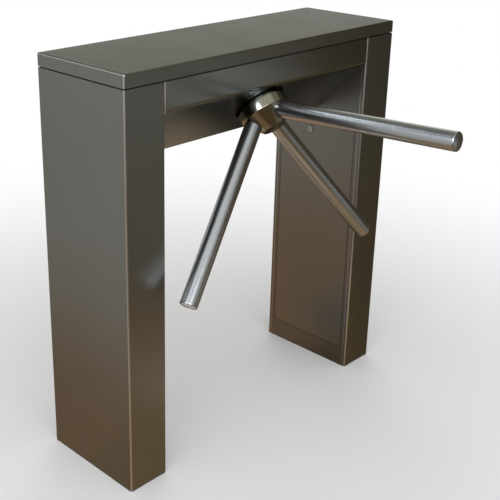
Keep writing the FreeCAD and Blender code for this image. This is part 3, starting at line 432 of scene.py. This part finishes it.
def rounded(corners, radii, steps=10):
    """A profile through corners (radius, height), each rounded by an arc tangent to its two runs."""
    corners = np.array(corners)
    runs = [corners[:1]]
    for before, here, after, radius in zip(corners, corners[1:], corners[2:], radii):
        back = (before - here) / np.linalg.norm(before - here)
        ahead = (after - here) / np.linalg.norm(after - here)
        half = math.acos(float(np.clip(back @ ahead, -1, 1))) / 2
        middle = here + (back + ahead) / np.linalg.norm(back + ahead) * (radius / math.sin(half))
        first = here + back * radius / math.tan(half) - middle
        last = here + ahead * radius / math.tan(half) - middle
        share = np.linspace(0, 1, steps)[:, None]
        arc = first * (1 - share) + last * share
        runs.append(middle + arc * (radius / np.linalg.norm(arc, axis=1, keepdims=True)))
    runs.append(corners[-1:])
    return np.concatenate(runs)


def turned_surface(name, profile, directions, foot, body, material, sides=120):
    """A profile of (radius, height), from the axis to the axis, turned about the third of three
    directions; its UV map holds the share of a turn and the height in metres."""
    crisp_angle = math.radians(40)
    column = np.arange(sides)
    beside = (column + 1) % sides
    rim = profile[1:-1]
    count = len(rim)
    turn = 2 * np.pi * column / sides
    circle = np.stack([np.cos(turn), np.sin(turn)], 1)
    heights = np.repeat(rim[:, None, 1:], sides, 1)
    rings = np.concatenate([rim[:, None, :1] * circle, heights], 2).reshape(-1, 3)
    ends = np.array([[0, 0, profile[0, 1]], [0, 0, profile[-1, 1]]])
    corners = np.concatenate([rings, ends]) @ np.array(directions).T + np.array(foot)
    row = (np.arange(count - 1) * sides)[:, None]
    quads = np.stack([row + column, row + beside, row + sides + beside, row + sides + column], 2)
    low_fan = np.stack([np.full(sides, count * sides), beside, column], 1)
    top = (count - 1) * sides
    high_fan = np.stack([np.full(sides, count * sides + 1), top + column, top + beside], 1)
    mesh = bpy.data.meshes.new(name)
    mesh.from_pydata(corners.tolist(), [],
                     quads.reshape(-1, 4).tolist() + low_fan.tolist() + high_fan.tolist())
    mesh.shade_smooth()
    mesh.set_sharp_from_angle(angle=crisp_angle)
    left, right = column / sides, (column + 1) / sides
    height = rim[:, 1]
    around = np.broadcast_to(np.stack([left, right, right, left], 1), (count - 1, sides, 4))
    along = np.stack([height[:-1], height[:-1], height[1:], height[1:]], 1)[:, None].repeat(sides, 1)
    quad_uv = np.stack([around, along], 3)
    low_uv = np.stack([np.stack([left, right, left], 1), np.full((sides, 3), profile[0, 1])], 2)
    high_uv = np.stack([np.stack([left, left, right], 1), np.full((sides, 3), profile[-1, 1])], 2)
    uv = np.concatenate([part.reshape(-1, 2) for part in (quad_uv, low_uv, high_uv)])
    mesh.uv_layers.new(name="turned").data.foreach_set("uv", uv.astype(np.float32).ravel())
    mesh.materials.append(material)
    piece = placed(name, mesh)
    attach(piece, body)
    return piece


def polished_steel(name, dark, light, rough, lines_around, lines_along):
    """Polished stainless: faint polishing lines drawn out along the turn or the length of the piece's own
    UV map, with finger smears that soften the gloss."""
    material, shader, place = finish(name, {"Metallic": 1.0, "Specular Tint": (0.7, 0.7, 0.7, 1)})
    uv = place.node("ShaderNodeUVMap", {"uv_map": "turned"}, {})
    lines = grain(uv, (lines_around, lines_along, 1.0))
    smears = grain(place, (28.0, 28.0, 28.0), 6.0)
    clouds = grain(place, (9.0, 9.0, 9.0), 4.0)
    feed(shader, {"Base Color": mix(lines * 0.5 + clouds * 0.5, dark, light),
                  "Roughness": rough + smears * 0.08 + lines * 0.05,
                  "Normal": raised(lines, 0.03, 0.0003)})
    return material


casting = polished_steel("polished_casting", (0.15, 0.14, 0.10), (0.20, 0.19, 0.15), 0.12, 3.0, 1500.0)
neck_radius, collar_radius, nose_radius, bore_radius = 0.0540, 0.0615, 0.0290, 0.0123
neck_foot, collar_foot, collar_top, nose_top, bore_floor = -0.0120, 0.0084, 0.0330, 0.0750, 0.0737
hub_profile = rounded([(0, neck_foot), (neck_radius, neck_foot), (neck_radius, collar_foot),
                       (collar_radius, collar_foot), (collar_radius, collar_top), (nose_radius, nose_top),
                       (bore_radius, nose_top), (bore_radius, bore_floor), (0, bore_floor)],
                      [0.0020, 0.0005, 0.0020, 0.0030, 0.0060, 0.0006, 0.0003])
hub = turned_surface("hub_casting", hub_profile, hub_place, hub_foot, "rotor", casting)
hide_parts("hub")
nose_plug_radius, nose_plug_foot, nose_plug_rim = 0.0118, 0.0695, 0.0747
plug_profile = rounded([(0, nose_plug_foot), (nose_plug_radius, nose_plug_foot),
                        (nose_plug_radius, nose_plug_rim), (0, nose_top)], [0.0004, 0.0012])
plug = turned_surface("hub_plug", plug_profile, hub_place, hub_foot, "rotor", casting, 72)
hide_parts("hub_nose_plug")

# Arms
# Stainless tubes of 42 mm, polished along their length; each is seated in a socket of the hub on a
# screwed spigot. A domed plug of the same steel closes the free end, whose rim is rounded over.
tube = polished_steel("polished_tube", (0.245, 0.25, 0.25), (0.305, 0.315, 0.32), 0.19, 420.0, 5.0)
arm_count, arm_sides = 3, 96
rest_turn, cone, apex = math.radians(-1.9), math.radians(48.5), 0.0094
arm_seat, arm_rim, arm_reach, arm_radius, plug_radius = 0.044, 0.5222, 0.523, 0.0212, 0.0182
clearance = 0.0002
recess_floor = arm_rim - 0.006
arm_profile = rounded([(0, arm_seat), (arm_radius, arm_seat), (arm_radius, arm_rim),
                       (plug_radius + clearance, arm_rim), (plug_radius + clearance, recess_floor),
                       (0, recess_floor)], [0.0004, 0.0024, 0.0002, 0.0003])
share = np.linspace(1, 0, 14)
dome = np.stack([plug_radius * share, arm_reach - (arm_reach - arm_rim + clearance) * share ** 2], 1)
end_profile = np.concatenate([[(0, recess_floor + clearance), (plug_radius, recess_floor + clearance)], dome])
arm_foot = hub_foot + outward * apex
for index in range(arm_count):
    around = math.pi / 2 + rest_turn + index * 2 * math.pi / arm_count
    direction = hub_place @ np.array([math.sin(cone) * math.cos(around), math.sin(cone) * math.sin(around),
                                      math.cos(cone)])
    sideways = np.cross(direction, outward)
    sideways /= np.linalg.norm(sideways)
    arm_place = np.column_stack([sideways, np.cross(direction, sideways), direction])
    arm = turned_surface(f"arm_tube_{index + 1}", arm_profile, arm_place, arm_foot, "rotor",
                         tube, arm_sides)
    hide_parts(f"arm_{index + 1}")
    end = turned_surface(f"arm_end_{index + 1}", end_profile, arm_place, arm_foot, "rotor",
                         tube, arm_sides)
    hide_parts(f"arm_cap_{index + 1}")

# Floor
# The object stands on a pale matt floor, a plain sheet that keeps its shadow and fades to white with
# distance.


def seen_directly_or_mirrored(start):
    """1 for rays from the lens and for those that metal throws back or glass lets through, else 0."""
    lens_ray, glossy_ray, glass_ray = (start.node("ShaderNodeLightPath", {}, {}, name) for name in
                                       ("Is Camera Ray", "Is Glossy Ray", "Is Transmission Ray"))
    return start.node("ShaderNodeClamp", {}, {"Value": lens_ray + glossy_ray + glass_ray})


def distance(place, spot):
    """How far a place lies from a spot, in metres."""
    return place.node("ShaderNodeVectorMath", {"operation": "DISTANCE"}, {0: place, 1: spot}, "Value")


reach = 40.0
floor_mesh = bpy.data.meshes.new("floor")
floor_mesh.from_pydata([(-reach, -reach, 0), (reach, -reach, 0), (reach, reach, 0), (-reach, reach, 0)], [],
                       [(0, 1, 2, 3)])
floor = placed("floor", floor_mesh)
pale, shader, place = finish("pale_floor", {"Base Color": (0.90, 0.90, 0.90, 1), "Roughness": 0.9,
                                            "Specular IOR Level": 0.1})
floor_mesh.materials.append(pale)
far_off = 1 - distance(place, (0, 0, 0)).fade(0.5, 2.2)
white = place.node("ShaderNodeEmission", {}, {"Color": (1, 1, 1, 1), "Strength": 1.0})
surface = place.node("ShaderNodeMixShader", {}, {0: far_off * seen_directly_or_mirrored(place),
                                                 1: Term(place.tree, shader.outputs[0]), 2: white})
feed(pale.node_tree.nodes["Material Output"], {"Surface": surface})

# Mirrored surroundings
# Boards out of the camera's sight, which only the metal mirrors: a warm floor with patches of light and a
# painted shadow, a brown wall and a dark side on the right, windows on the left, and a ceiling with a lamp.


def mirrored_board(name, corners, light):
    """A flat board that only reflections show. Its light is one colour, or a function that works the colour
    out from the place on the board."""
    mesh = bpy.data.meshes.new(name)
    mesh.from_pydata(corners, [], [(0, 1, 2, 3)])
    board = placed(name, mesh)
    board.visible_camera = False
    board.visible_diffuse = False
    board.visible_transmission = False
    board.visible_shadow = False
    material, _, place = finish(name, {})
    mesh.materials.append(material)
    colour = light(place) if callable(light) else (*light, 1)
    glow = place.node("ShaderNodeEmission", {}, {"Color": colour, "Strength": 1.0})
    feed(material.node_tree.nodes["Material Output"], {"Surface": glow})


def level_corners(low, high, height):
    """The corners of a level board between two corners of its outline."""
    return [(*low, height), (high[0], low[1], height), (*high, height), (low[0], high[1], height)]


def upright_corners(first, last, foot, top):
    """The corners of an upright board that stands over the line between two spots."""
    return [(*first, foot), (*last, foot), (*last, top), (*first, top)]


DARK_SIDE = (0.14, 0.12, 0.09)


def floor_light(place):
    """In front, tan near the object and duller further off, turning dark brown to the right; behind, tan near
    it, pale further off and dark on the right. Four round patches lie on that, each fading at its rim."""
    x, y, _ = axes(place)
    behind = y.fade(1.0, 1.7) * x.fade(-0.75, -1.15)
    back = mix(behind, (0.95, 0.95, 0.94), (0.80, 0.52, 0.32))
    back = mix(x.fade(0.9, 0.5), back, DARK_SIDE)
    near = mix(y.fade(-0.50, -1.05), (0.42, 0.33, 0.23), (0.65, 0.455, 0.27))
    far = mix(x.fade(0.24, 0.50), (0.40, 0.40, 0.37), (0.24, 0.165, 0.085))
    rightward = 1 - (x + 0.95 * (y + 0.15)).fade(-0.1, 0.7)
    right = mix(x.fade(2.0, 3.4), (0.13, 0.095, 0.045), (0.26, 0.19, 0.09))
    front = mix(rightward, mix(y.fade(-0.80, -1.05), far, near), right)
    colour = mix(y.fade(-0.1, 0.1), back, front)
    # In turn: a bright gleam far ahead on the right, a warm patch of light in front of the hub, a grey
    # painted shadow under the beam, and a bright patch of light under the beam's left half.
    for spot, core, rim, light in (((2.62, -2.98, 0.0), 0.15, 0.85, (1.6, 1.7, 1.82)),
                                   ((-0.06, -0.45, 0.0), 0.09, 0.18, (1.0, 0.83, 0.64)),
                                   ((0.06, 0.03, 0.0), 0.10, 0.22, (0.36, 0.35, 0.34)),
                                   ((-0.28, 0.03, 0.0), 0.08, 0.15, (1.5, 1.6, 1.75))):
        colour = mix(distance(place, spot).fade(core, rim), colour, light)
    return colour


def wall_light(place):
    """Brown, and darker on the right."""
    x, _, _ = axes(place)
    return mix(x.fade(5.5, 6.0), (0.10, 0.07, 0.03), (0.24, 0.19, 0.12))


def window_light(place):
    """Daylight, dimmed at the end nearer the object."""
    _, y, _ = axes(place)
    return mix(y.fade(2.8, 3.5), (4.8, 5.2, 5.6), (0.7, 0.75, 0.8))


def ceiling_light(place):
    """Grey, yellower on the right, with a lamp on the left, whose four edges fade."""
    x, y, _ = axes(place)
    lamp = (1 - x.fade(-3.0, -2.7)) * x.fade(-2.0, -1.7) * (1 - y.fade(2.1, 2.5)) * y.fade(3.8, 4.2)
    plain = mix(x.fade(2.0, 0.5), (0.33, 0.33, 0.32), (0.60, 0.60, 0.45))
    return mix(lamp, plain, (4.6, 5.0, 5.4))


mirrored_board("mirrored_floor", level_corners((-3.5, -8.0), (9.0, 3.5), 0.003), floor_light)
mirrored_board("mirrored_wall", upright_corners((3.0, -8.0), (9.0, -3.0), 0.0, 4.6), wall_light)
mirrored_board("mirrored_side", upright_corners((4.0, -3.4), (4.0, 1.5), 0.0, 4.6), DARK_SIDE)
mirrored_board("mirrored_window", upright_corners((-4.0, 2.0), (-4.0, 6.0), 1.6, 4.7), window_light)
mirrored_board("mirrored_pane", upright_corners((-4.0, -1.8), (-4.0, 0.2), 2.4, 3.6), (32.0, 35.0, 42.0))
mirrored_board("mirrored_opening", upright_corners((-6.0, -4.5), (-1.7, -4.5), 1.0, 4.4), (7.0, 7.5, 8.2))
mirrored_board("mirrored_ceiling", level_corners((-6.0, -6.0), (6.0, 6.0), 4.8), ceiling_light)

# White surround
# Beyond the floor everything is plain white, as in a studio with white paper all round. On matt surfaces
# it sheds little more than half as much light.
shed_light = 0.55
world = bpy.data.worlds.new("white_surround")
bpy.context.scene.world = world
world.use_nodes = True
seen = seen_directly_or_mirrored(Term(world.node_tree))
surround = seen.node("ShaderNodeBackground", {}, {"Color": (1, 1, 1, 1),
                                                  "Strength": shed_light + seen * (1 - shed_light)})
feed(world.node_tree.nodes["World Output"], {"Surface": surround})

# Lamps
# Two large square lamps give soft studio light: one in front, above the camera, and one behind on the
# right, which lifts the far sides.


def soft_lamp(name, place, aim, size, power):
    """A square lamp that faces its aim."""
    lamp = bpy.data.lights.new(name, "AREA")
    lamp.size = size
    lamp.energy = power
    holder = placed(name, lamp)
    holder.location = place
    holder.rotation_euler = (Vector(aim) - Vector(place)).to_track_quat("-Z", "Y").to_euler()


soft_lamp("key_lamp", (-1.5, -1.7, 3.2), (-0.2, -0.2, 0.6), 4.2, 58)
soft_lamp("back_lamp", (3.5, 3.45, 2.2), (0, 0, 0.6), 4.0, 60)

# Camera
# It stands to the left, in front of the cabinet and above it, as the photograph's did; the shift is
# that of a picture cropped from a larger one. Focal length and middle are in the picture's pixels.
picture_size = 500
eye, aim = Vector((-1.6388, -1.5381, 1.4210)), Vector((-0.1220, 0, 0.6197))
roll, focal, middle = math.radians(0.48), 933.6, (194.3, 194.6)
forward = (aim - eye).normalized()
level = forward.cross(Vector((0, 0, 1))).normalized()
upright = level.cross(forward)
right = math.cos(roll) * level + math.sin(roll) * upright
up = math.cos(roll) * upright - math.sin(roll) * level
lens = bpy.data.cameras.new("camera")
lens.sensor_width = 36.0
lens.lens = focal / picture_size * lens.sensor_width
lens.shift_x = 0.5 - middle[0] / picture_size
lens.shift_y = middle[1] / picture_size - 0.5
camera = placed("camera", lens)
camera.matrix_world = Matrix.Translation(eye) @ Matrix((right, up, -forward)).transposed().to_4x4()
bpy.context.scene.camera = camera
bpy.context.scene.view_settings.view_transform = "Standard"

bpy.context.view_layer.update()
